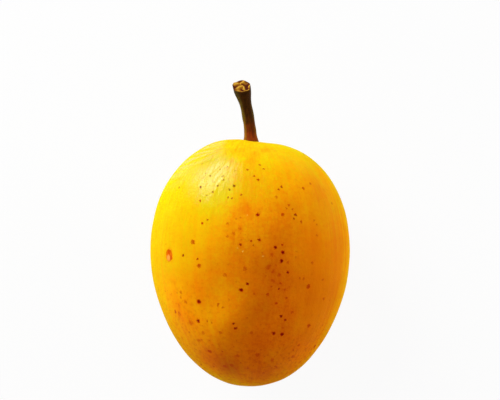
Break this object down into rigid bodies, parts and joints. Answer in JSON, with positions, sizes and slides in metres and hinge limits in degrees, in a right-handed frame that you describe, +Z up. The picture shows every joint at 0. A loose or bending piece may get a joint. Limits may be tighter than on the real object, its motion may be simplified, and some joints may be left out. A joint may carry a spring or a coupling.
{
  "type": "mango",
  "caption": "Ripe egg-shaped mango with a short woody stalk, lying on one cheek on a small flat spot.",
  "frame": {"origin": "middle of the small flat under the lower cheek, on the surface that the mango lies on", "axes": "+Z up, out of the upper cheek; +Y level, towards the stalk; +X across the fruit, to the right when it is seen from above with the stalk away from the viewer"},
  "size_m": [0.0844, 0.1284, 0.0746],
  "materials": {
    "skin": "satin",
    "bark": "matte"
  },
  "bodies": {
    "root": {"fruit": "skin", "stalk": "bark"}
  },
  "joints": []
}
